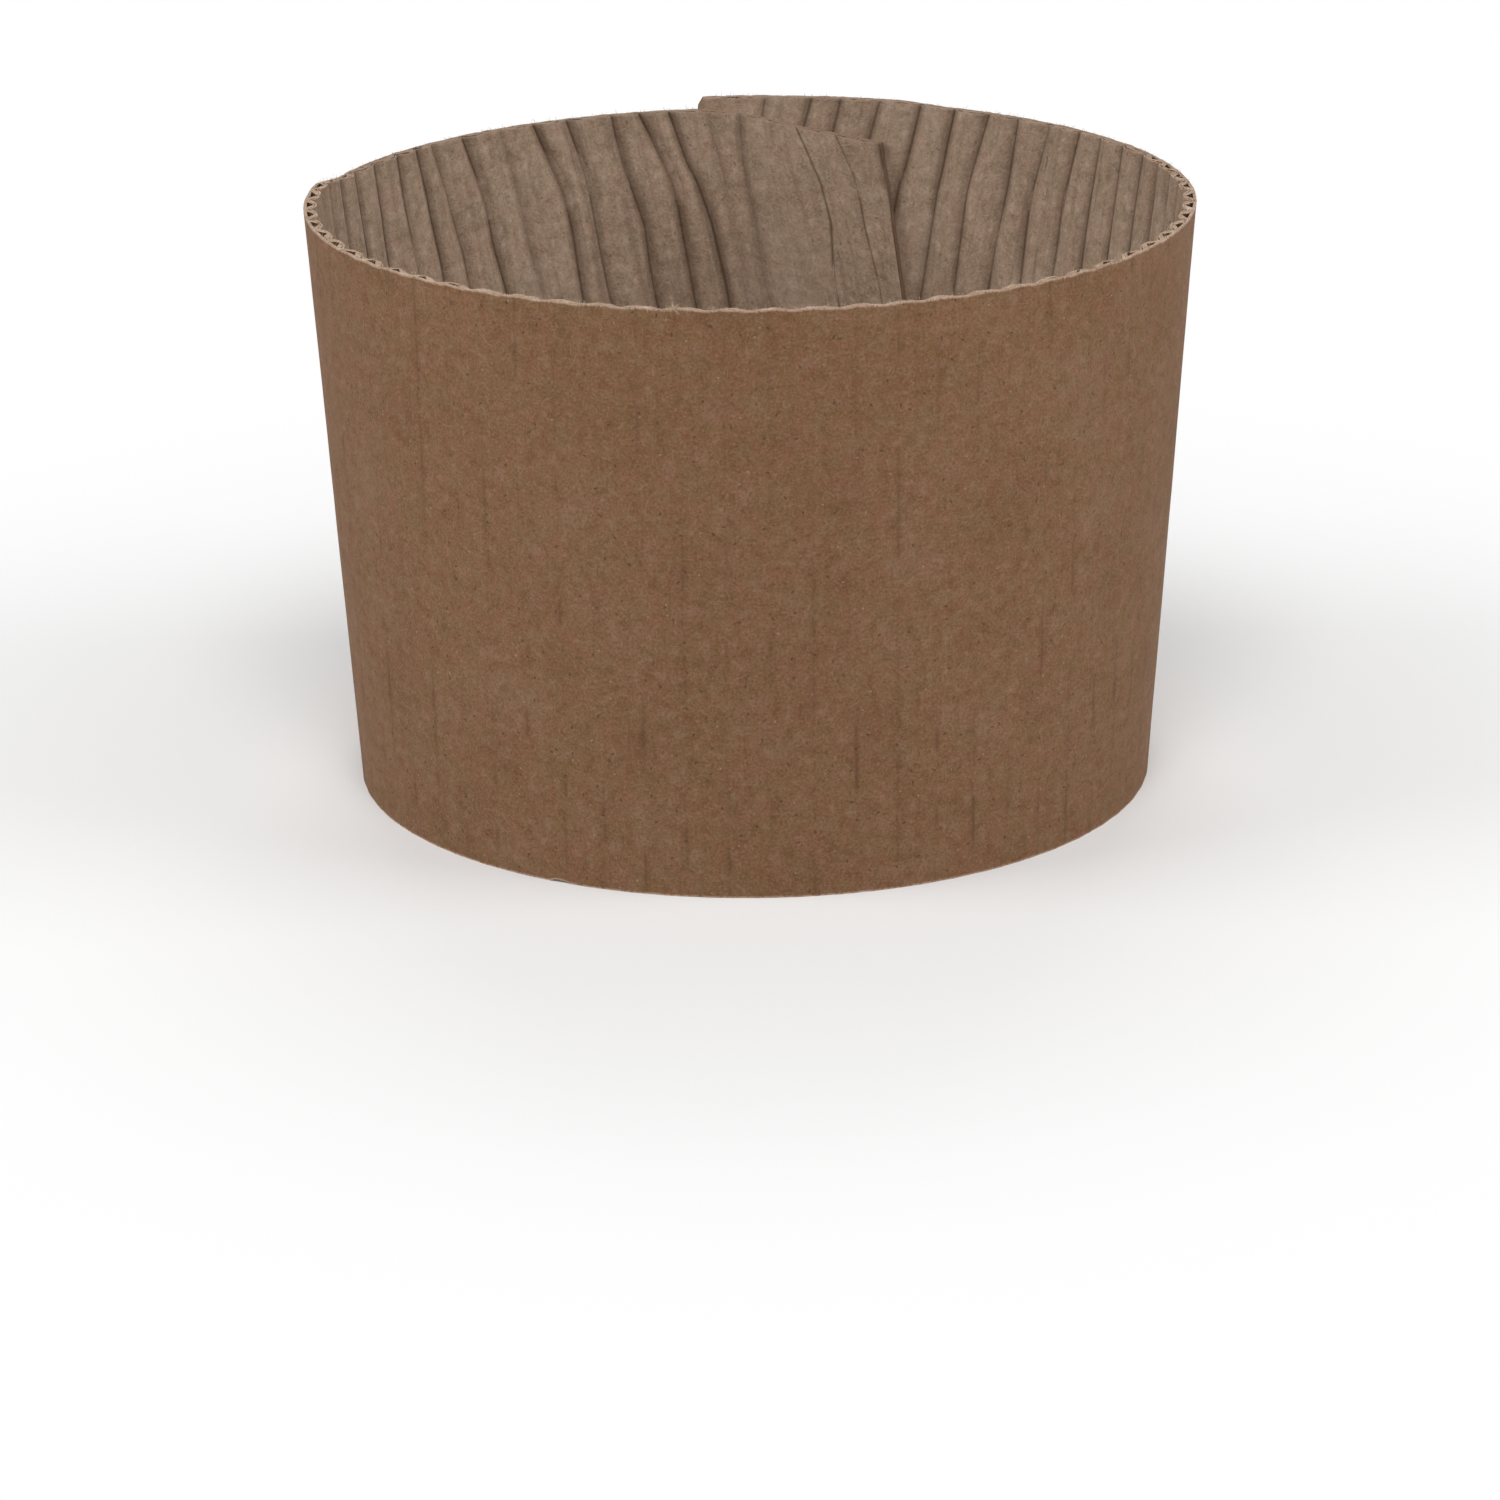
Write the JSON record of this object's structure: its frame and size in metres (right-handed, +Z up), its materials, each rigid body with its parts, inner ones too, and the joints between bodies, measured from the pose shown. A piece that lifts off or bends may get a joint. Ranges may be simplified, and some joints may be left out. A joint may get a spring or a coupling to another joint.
{
  "type": "coffee cup sleeve",
  "caption": "Plain brown corrugated board sleeve for a takeaway cup: a slightly conical ring, wider at the top, with open flutes along its cut edges, creases inside and a glued lap at the back.",
  "frame": {"origin": "middle of the footprint's box, on the plane of the bottom cut edge", "axes": "+Z up along the cone's axis, from the narrow end to the wide end; the glued lap is at +Y and the plain front at -Y"},
  "size_m": [0.0754, 0.0766, 0.0505],
  "materials": {
    "kraft_board": "matte"
  },
  "bodies": {
    "root": {"sleeve": "kraft_board"}
  },
  "joints": []
}
